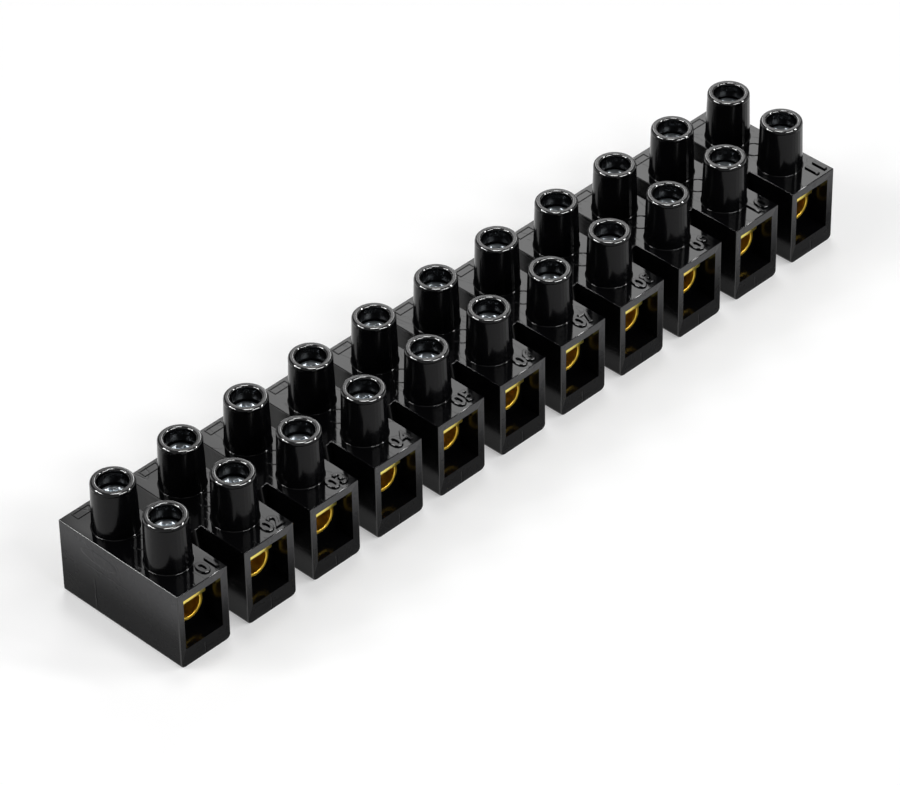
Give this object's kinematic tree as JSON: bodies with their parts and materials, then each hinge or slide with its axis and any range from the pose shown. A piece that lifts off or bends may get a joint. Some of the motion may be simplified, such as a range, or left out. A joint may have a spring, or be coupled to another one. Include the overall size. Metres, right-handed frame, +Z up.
{
  "type": "terminal strip",
  "caption": "Black moulded terminal strip with slotted webs, screw funnels, brass sleeves with wire guards and clamp screws that travel to grip wires from both sides",
  "frame": {"origin": "the middle of the underside, on the surface that the strip stands on", "axes": "+X runs along the row of poles, +Y from the front wire entries to the back ones, +Z up through the funnels"},
  "size_m": [0.1074, 0.019, 0.0167],
  "materials": {
    "black_moulding": "semi-gloss moulded black",
    "brass": "turned and drawn",
    "guard_brass": "bright rolled strip",
    "screw_steel": "bright zinc plated"
  },
  "bodies": {
    "strip": {"housing_01": "black_moulding", "housing_02": "black_moulding", "housing_03": "black_moulding", "housing_04": "black_moulding", "housing_05": "black_moulding", "housing_06": "black_moulding", "housing_07": "black_moulding", "housing_08": "black_moulding", "housing_09": "black_moulding", "housing_10": "black_moulding", "housing_11": "black_moulding", "sleeve_01": "brass", "sleeve_02": "brass", "sleeve_03": "brass", "sleeve_04": "brass", "sleeve_05": "brass", "sleeve_06": "brass", "sleeve_07": "brass", "sleeve_08": "brass", "sleeve_09": "brass", "sleeve_10": "brass", "sleeve_11": "brass", "wire_guard_01": "guard_brass", "wire_guard_02": "guard_brass", "wire_guard_03": "guard_brass", "wire_guard_04": "guard_brass", "wire_guard_05": "guard_brass", "wire_guard_06": "guard_brass", "wire_guard_07": "guard_brass", "wire_guard_08": "guard_brass", "wire_guard_09": "guard_brass", "wire_guard_10": "guard_brass", "wire_guard_11": "guard_brass"},
    "screw_front_01": {"screw_front_01": "screw_steel"},
    "screw_back_01": {"screw_back_01": "screw_steel"},
    "screw_front_02": {"screw_front_02": "screw_steel"},
    "screw_back_02": {"screw_back_02": "screw_steel"},
    "screw_front_03": {"screw_front_03": "screw_steel"},
    "screw_back_03": {"screw_back_03": "screw_steel"},
    "screw_front_04": {"screw_front_04": "screw_steel"},
    "screw_back_04": {"screw_back_04": "screw_steel"},
    "screw_front_05": {"screw_front_05": "screw_steel"},
    "screw_back_05": {"screw_back_05": "screw_steel"},
    "screw_front_06": {"screw_front_06": "screw_steel"},
    "screw_back_06": {"screw_back_06": "screw_steel"},
    "screw_front_07": {"screw_front_07": "screw_steel"},
    "screw_back_07": {"screw_back_07": "screw_steel"},
    "screw_front_08": {"screw_front_08": "screw_steel"},
    "screw_back_08": {"screw_back_08": "screw_steel"},
    "screw_front_09": {"screw_front_09": "screw_steel"},
    "screw_back_09": {"screw_back_09": "screw_steel"},
    "screw_front_10": {"screw_front_10": "screw_steel"},
    "screw_back_10": {"screw_back_10": "screw_steel"},
    "screw_front_11": {"screw_front_11": "screw_steel"},
    "screw_back_11": {"screw_back_11": "screw_steel"}
  },
  "joints": [
    {"name": "screw_front_01_travel", "type": "slide", "parent": "strip", "child": "screw_front_01", "axis": [0, 0, 1], "range_m": [-0.002, 0.0009], "deforming": ["wire_guard_01"]},
    {"name": "screw_back_01_travel", "type": "slide", "parent": "strip", "child": "screw_back_01", "axis": [0, 0, 1], "range_m": [-0.002, 0.0009], "deforming": ["wire_guard_01"]},
    {"name": "screw_front_02_travel", "type": "slide", "parent": "strip", "child": "screw_front_02", "axis": [0, 0, 1], "range_m": [-0.002, 0.0009], "deforming": ["wire_guard_02"]},
    {"name": "screw_back_02_travel", "type": "slide", "parent": "strip", "child": "screw_back_02", "axis": [0, 0, 1], "range_m": [-0.002, 0.0009], "deforming": ["wire_guard_02"]},
    {"name": "screw_front_03_travel", "type": "slide", "parent": "strip", "child": "screw_front_03", "axis": [0, 0, 1], "range_m": [-0.002, 0.0009], "deforming": ["wire_guard_03"]},
    {"name": "screw_back_03_travel", "type": "slide", "parent": "strip", "child": "screw_back_03", "axis": [0, 0, 1], "range_m": [-0.002, 0.0009], "deforming": ["wire_guard_03"]},
    {"name": "screw_front_04_travel", "type": "slide", "parent": "strip", "child": "screw_front_04", "axis": [0, 0, 1], "range_m": [-0.002, 0.0009], "deforming": ["wire_guard_04"]},
    {"name": "screw_back_04_travel", "type": "slide", "parent": "strip", "child": "screw_back_04", "axis": [0, 0, 1], "range_m": [-0.002, 0.0009], "deforming": ["wire_guard_04"]},
    {"name": "screw_front_05_travel", "type": "slide", "parent": "strip", "child": "screw_front_05", "axis": [0, 0, 1], "range_m": [-0.002, 0.0009], "deforming": ["wire_guard_05"]},
    {"name": "screw_back_05_travel", "type": "slide", "parent": "strip", "child": "screw_back_05", "axis": [0, 0, 1], "range_m": [-0.002, 0.0009], "deforming": ["wire_guard_05"]},
    {"name": "screw_front_06_travel", "type": "slide", "parent": "strip", "child": "screw_front_06", "axis": [0, 0, 1], "range_m": [-0.002, 0.0009], "deforming": ["wire_guard_06"]},
    {"name": "screw_back_06_travel", "type": "slide", "parent": "strip", "child": "screw_back_06", "axis": [0, 0, 1], "range_m": [-0.002, 0.0009], "deforming": ["wire_guard_06"]},
    {"name": "screw_front_07_travel", "type": "slide", "parent": "strip", "child": "screw_front_07", "axis": [0, 0, 1], "range_m": [-0.002, 0.0009], "deforming": ["wire_guard_07"]},
    {"name": "screw_back_07_travel", "type": "slide", "parent": "strip", "child": "screw_back_07", "axis": [0, 0, 1], "range_m": [-0.002, 0.0009], "deforming": ["wire_guard_07"]},
    {"name": "screw_front_08_travel", "type": "slide", "parent": "strip", "child": "screw_front_08", "axis": [0, 0, 1], "range_m": [-0.002, 0.0009], "deforming": ["wire_guard_08"]},
    {"name": "screw_back_08_travel", "type": "slide", "parent": "strip", "child": "screw_back_08", "axis": [0, 0, 1], "range_m": [-0.002, 0.0009], "deforming": ["wire_guard_08"]},
    {"name": "screw_front_09_travel", "type": "slide", "parent": "strip", "child": "screw_front_09", "axis": [0, 0, 1], "range_m": [-0.002, 0.0009], "deforming": ["wire_guard_09"]},
    {"name": "screw_back_09_travel", "type": "slide", "parent": "strip", "child": "screw_back_09", "axis": [0, 0, 1], "range_m": [-0.002, 0.0009], "deforming": ["wire_guard_09"]},
    {"name": "screw_front_10_travel", "type": "slide", "parent": "strip", "child": "screw_front_10", "axis": [0, 0, 1], "range_m": [-0.002, 0.0009], "deforming": ["wire_guard_10"]},
    {"name": "screw_back_10_travel", "type": "slide", "parent": "strip", "child": "screw_back_10", "axis": [0, 0, 1], "range_m": [-0.002, 0.0009], "deforming": ["wire_guard_10"]},
    {"name": "screw_front_11_travel", "type": "slide", "parent": "strip", "child": "screw_front_11", "axis": [0, 0, 1], "range_m": [-0.002, 0.0009], "deforming": ["wire_guard_11"]},
    {"name": "screw_back_11_travel", "type": "slide", "parent": "strip", "child": "screw_back_11", "axis": [0, 0, 1], "range_m": [-0.002, 0.0009], "deforming": ["wire_guard_11"]}
  ]
}
